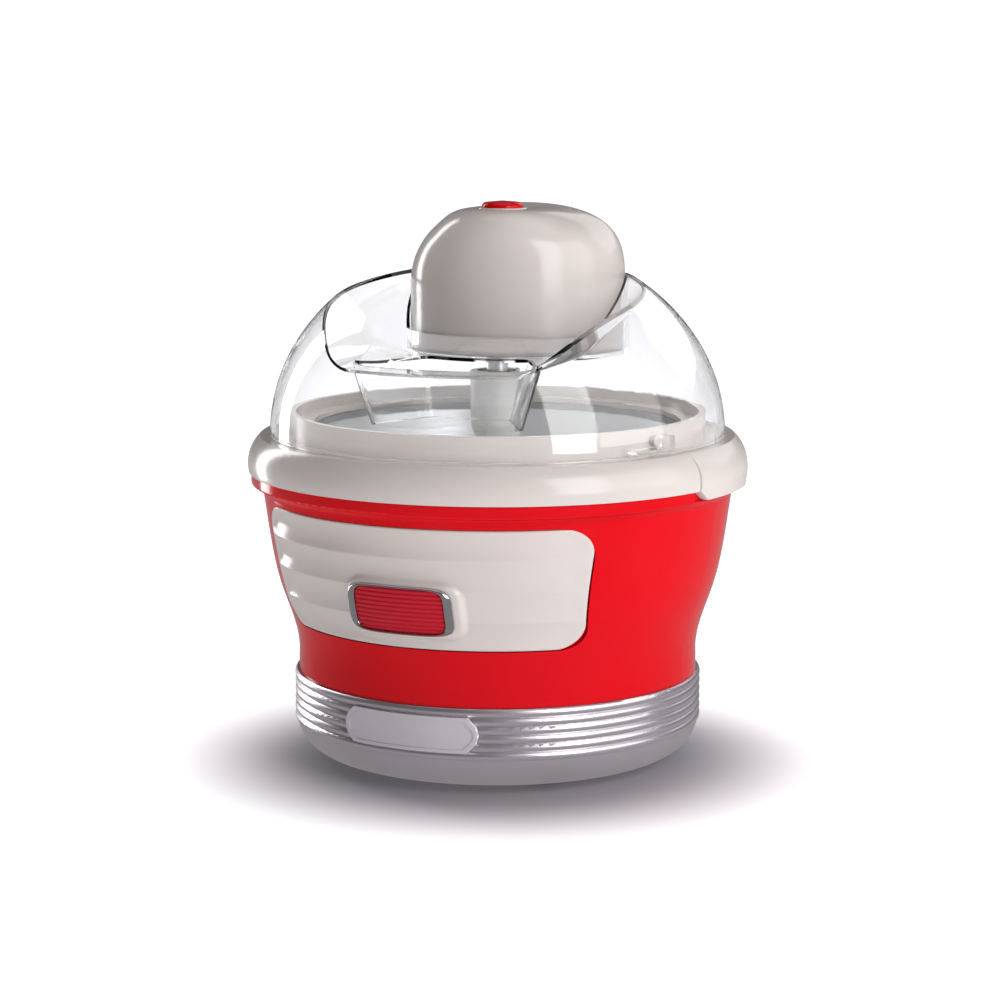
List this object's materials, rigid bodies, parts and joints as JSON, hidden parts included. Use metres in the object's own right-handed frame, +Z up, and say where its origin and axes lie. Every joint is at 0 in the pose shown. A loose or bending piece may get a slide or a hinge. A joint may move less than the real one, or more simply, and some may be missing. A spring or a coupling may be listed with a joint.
{
  "type": "ice cream maker",
  "caption": "Countertop ice cream maker: ribbed base, flared housing with fluted front panel, freezing bowl, locking ring, clear domed lid and lift-off geared motor unit.",
  "frame": {"origin": "centre of the base, at the height of the feet's undersides", "axes": "+Z up, the badge and name plate face -Y, +X to the right seen from the front"},
  "size_m": [0.2338, 0.232, 0.2581],
  "materials": {
    "silver": "satin silver finish",
    "red_gloss": "glossy red moulded plastic",
    "cream_gloss": "glossy cream moulded plastic",
    "chrome_trim": "bright chrome",
    "clear": "clear moulded plastic",
    "rubber": "matt rubber",
    "seal": "grey silicone",
    "steel": "plated steel",
    "bronze": "sintered bronze",
    "bowl_metal": "spun aluminium",
    "grey_plastic": "matt grey plastic",
    "coolant": "frozen coolant gel",
    "black_plastic": "matt black plastic",
    "gear_plastic": "natural acetal",
    "white_plastic": "white food-safe plastic"
  },
  "bodies": {
    "housing": {"base_shell": "silver", "rubber_feet": "rubber", "base_screws": "steel", "name_plate": "silver", "outer_housing": "red_gloss", "seat_pad": "rubber", "front_panel": "cream_gloss", "badge_bezel": "chrome_trim", "badge_insert": "red_gloss"},
    "bowl": {"bowl_outer": "grey_plastic", "bowl_liner": "bowl_metal", "coolant_fill": "coolant", "bowl_gasket": "seal"},
    "ring": {"locking_ring": "cream_gloss"},
    "lid": {"clear_lid": "clear"},
    "motor_unit": {"motor_cover": "cream_gloss", "motor_base": "cream_gloss", "gearbox_screws": "steel", "gear_plate": "grey_plastic", "motor_can": "steel", "push_switch": "black_plastic", "cord_gland": "rubber", "output_bush": "bronze", "idler_pin": "steel"},
    "button": {"power_button": "red_gloss"},
    "drive": {"output_gear": "gear_plastic", "drive_shaft": "steel"},
    "idler": {"idler_gear": "gear_plastic"},
    "pinion": {"motor_pinion": "bronze"},
    "paddle": {"mixing_paddle": "white_plastic"}
  },
  "joints": [
    {"name": "bowl_lift", "type": "slide", "parent": "housing", "child": "bowl", "axis": [0, 0, 1], "range_m": [0, 0.13]},
    {"name": "ring_lift", "type": "slide", "parent": "bowl", "child": "ring", "axis": [0, 0, 1], "range_m": [0, 0.12]},
    {"name": "lid_turn", "type": "hinge", "parent": "ring", "child": "lid", "pos_m": [0, 0, 0.1513], "axis": [0, 0, 1], "range_deg": [0, 20]},
    {"name": "motor_lift", "type": "slide", "parent": "lid", "child": "motor_unit", "axis": [0, 0, 1], "range_m": [0, 0.08]},
    {"name": "button_press", "type": "slide", "parent": "motor_unit", "child": "button", "axis": [0, 0, -1], "range_m": [0, 0.0025], "stiffness_N_per_m": 400},
    {"name": "paddle_spin", "type": "hinge", "parent": "bowl", "child": "paddle", "pos_m": [0, 0, 0.1], "axis": [0, 0, 1], "continuous": true},
    {"name": "drive_spin", "type": "hinge", "parent": "motor_unit", "child": "drive", "pos_m": [0, 0, 0.199], "axis": [0, 0, 1], "continuous": true},
    {"name": "idler_spin", "type": "hinge", "parent": "motor_unit", "child": "idler", "pos_m": [-0.00188, 0.02393, 0.202], "axis": [0, 0, 1], "continuous": true},
    {"name": "pinion_spin", "type": "hinge", "parent": "motor_unit", "child": "pinion", "pos_m": [-0.00318, 0.04038, 0.2055], "axis": [0, 0, 1], "continuous": true}
  ],
  "couplings": [
    {"joint": "drive_spin", "follows": "paddle_spin", "ratio": 1},
    {"joint": "idler_spin", "follows": "paddle_spin", "ratio": -4},
    {"joint": "pinion_spin", "follows": "paddle_spin", "ratio": 18}
  ]
}
